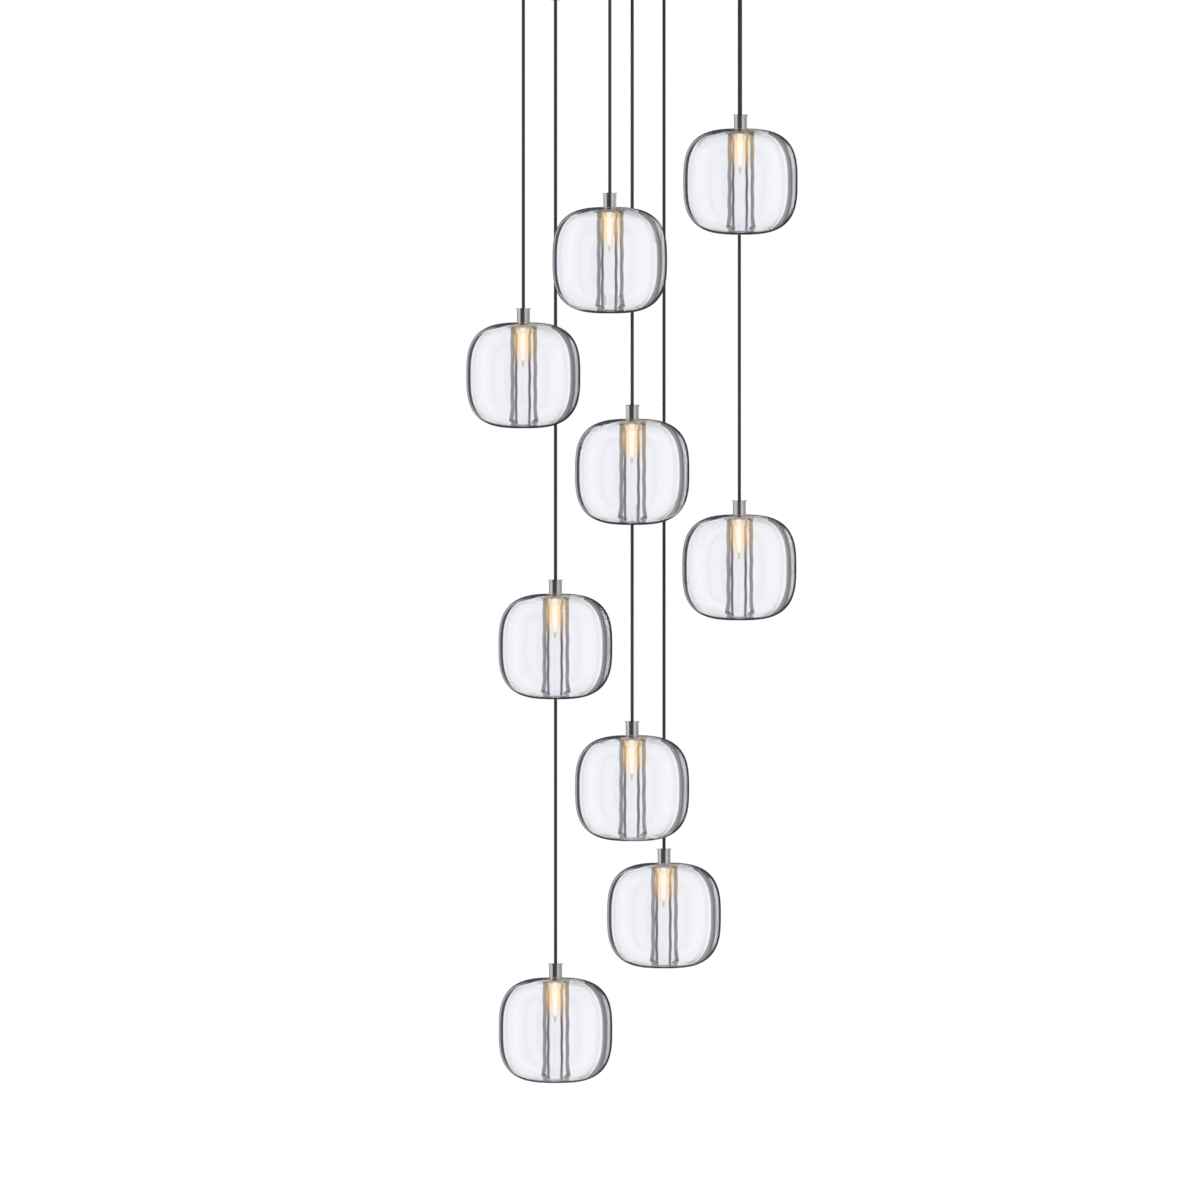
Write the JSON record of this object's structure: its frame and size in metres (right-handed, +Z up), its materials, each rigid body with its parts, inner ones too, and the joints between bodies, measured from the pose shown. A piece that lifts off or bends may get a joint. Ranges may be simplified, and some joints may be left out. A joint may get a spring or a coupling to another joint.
{
  "type": "cluster pendant light",
  "caption": "Cluster of clear hand-blown glass soft-cube pendants hung at stepped heights on straight brown cords from one round ceiling canopy, each lit by a capsule lamp.",
  "frame": {"origin": "on the ceiling, midway between the two screw holes of the ceiling bracket, which is the middle of the canopy", "axes": "+Z up into the ceiling, -Y towards the viewer of the picture, +X to the viewer's right"},
  "size_m": [0.4624, 0.5224, 1.4315],
  "materials": {
    "clear_glass": "clear blown glass",
    "satin_nickel": "satin nickel plate",
    "zinc_steel": "zinc plated",
    "earth_brass": "plain brass",
    "brown_cord": "dark brown round cord",
    "steatite": "matt white",
    "lamp_glass": "lit quartz capsule",
    "grey_plastic": "moulded"
  },
  "bodies": {
    "canopy": {"canopy_pan": "satin_nickel", "ceiling_bracket": "zinc_steel", "canopy_screws": "satin_nickel", "cord_grips": "satin_nickel", "grip_nuts": "zinc_steel", "grip_set_screws": "zinc_steel", "cord_tails": "brown_cord", "terminal_block": "steatite", "block_screws": "zinc_steel", "transformer": "grey_plastic", "transformer_screws": "zinc_steel", "transformer_lead": "brown_cord", "earth_screw": "earth_brass"},
    "cord_1": {"cord_1": "brown_cord"},
    "pendant_1": {"glass_shade_1": "clear_glass", "cap_1": "satin_nickel", "lamp_holder_1": "steatite", "lamp_1": "lamp_glass"},
    "cord_2": {"cord_2": "brown_cord"},
    "pendant_2": {"glass_shade_2": "clear_glass", "cap_2": "satin_nickel", "lamp_holder_2": "steatite", "lamp_2": "lamp_glass"},
    "cord_3": {"cord_3": "brown_cord"},
    "pendant_3": {"glass_shade_3": "clear_glass", "cap_3": "satin_nickel", "lamp_holder_3": "steatite", "lamp_3": "lamp_glass"},
    "cord_4": {"cord_4": "brown_cord"},
    "pendant_4": {"glass_shade_4": "clear_glass", "cap_4": "satin_nickel", "lamp_holder_4": "steatite", "lamp_4": "lamp_glass"},
    "cord_5": {"cord_5": "brown_cord"},
    "pendant_5": {"glass_shade_5": "clear_glass", "cap_5": "satin_nickel", "lamp_holder_5": "steatite", "lamp_5": "lamp_glass"},
    "cord_6": {"cord_6": "brown_cord"},
    "pendant_6": {"glass_shade_6": "clear_glass", "cap_6": "satin_nickel", "lamp_holder_6": "steatite", "lamp_6": "lamp_glass"},
    "cord_7": {"cord_7": "brown_cord"},
    "pendant_7": {"glass_shade_7": "clear_glass", "cap_7": "satin_nickel", "lamp_holder_7": "steatite", "lamp_7": "lamp_glass"},
    "cord_8": {"cord_8": "brown_cord"},
    "pendant_8": {"glass_shade_8": "clear_glass", "cap_8": "satin_nickel", "lamp_holder_8": "steatite", "lamp_8": "lamp_glass"},
    "cord_9": {"cord_9": "brown_cord"},
    "pendant_9": {"glass_shade_9": "clear_glass", "cap_9": "satin_nickel", "lamp_holder_9": "steatite", "lamp_9": "lamp_glass"}
  },
  "joints": [
    {"name": "sway_1", "type": "hinge", "parent": "canopy", "child": "cord_1", "pos_m": [0.135, -0.095, -0.068], "axis": [0, 1, 0], "range_deg": [-3.5, 3.5]},
    {"name": "twist_1", "type": "hinge", "parent": "cord_1", "child": "pendant_1", "pos_m": [0.135, -0.095, -0.2215], "axis": [0, 0, 1], "range_deg": [-90, 90]},
    {"name": "sway_2", "type": "hinge", "parent": "canopy", "child": "cord_2", "pos_m": [-0.028, -0.19, -0.068], "axis": [0, 1, 0], "range_deg": [-3.5, 3.5]},
    {"name": "twist_2", "type": "hinge", "parent": "cord_2", "child": "pendant_2", "pos_m": [-0.028, -0.19, -0.3205], "axis": [0, 0, 1], "range_deg": [-90, 90]},
    {"name": "sway_3", "type": "hinge", "parent": "canopy", "child": "cord_3", "pos_m": [-0.136, 0, -0.068], "axis": [0, 1, 0], "range_deg": [-3.5, 3.5]},
    {"name": "twist_3", "type": "hinge", "parent": "cord_3", "child": "pendant_3", "pos_m": [-0.136, 0, -0.4625], "axis": [0, 0, 1], "range_deg": [-90, 90]},
    {"name": "sway_4", "type": "hinge", "parent": "canopy", "child": "cord_4", "pos_m": [0, -0.095, -0.068], "axis": [0, 1, 0], "range_deg": [-3.5, 3.5]},
    {"name": "twist_4", "type": "hinge", "parent": "cord_4", "child": "pendant_4", "pos_m": [0, -0.095, -0.5835], "axis": [0, 0, 1], "range_deg": [-90, 90]},
    {"name": "sway_5", "type": "hinge", "parent": "canopy", "child": "cord_5", "pos_m": [0.134, 0, -0.068], "axis": [0, 1, 0], "range_deg": [-3.5, 3.5]},
    {"name": "twist_5", "type": "hinge", "parent": "cord_5", "child": "pendant_5", "pos_m": [0.134, 0, -0.7025], "axis": [0, 0, 1], "range_deg": [-90, 90]},
    {"name": "sway_6", "type": "hinge", "parent": "canopy", "child": "cord_6", "pos_m": [-0.096, 0.095, -0.068], "axis": [0, 1, 0], "range_deg": [-3.5, 3.5]},
    {"name": "twist_6", "type": "hinge", "parent": "cord_6", "child": "pendant_6", "pos_m": [-0.096, 0.095, -0.8015], "axis": [0, 0, 1], "range_deg": [-90, 90]},
    {"name": "sway_7", "type": "hinge", "parent": "canopy", "child": "cord_7", "pos_m": [0, 0, -0.068], "axis": [0, 1, 0], "range_deg": [-3.5, 3.5]},
    {"name": "twist_7", "type": "hinge", "parent": "cord_7", "child": "pendant_7", "pos_m": [0, 0, -0.9785], "axis": [0, 0, 1], "range_deg": [-90, 90]},
    {"name": "sway_8", "type": "hinge", "parent": "canopy", "child": "cord_8", "pos_m": [0.04, 0.095, -0.068], "axis": [0, 1, 0], "range_deg": [-3.5, 3.5]},
    {"name": "twist_8", "type": "hinge", "parent": "cord_8", "child": "pendant_8", "pos_m": [0.04, 0.095, -1.1385], "axis": [0, 0, 1], "range_deg": [-90, 90]},
    {"name": "sway_9", "type": "hinge", "parent": "canopy", "child": "cord_9", "pos_m": [-0.096, 0.19, -0.068], "axis": [0, 1, 0], "range_deg": [-3.5, 3.5]},
    {"name": "twist_9", "type": "hinge", "parent": "cord_9", "child": "pendant_9", "pos_m": [-0.096, 0.19, -1.2835], "axis": [0, 0, 1], "range_deg": [-90, 90]}
  ]
}
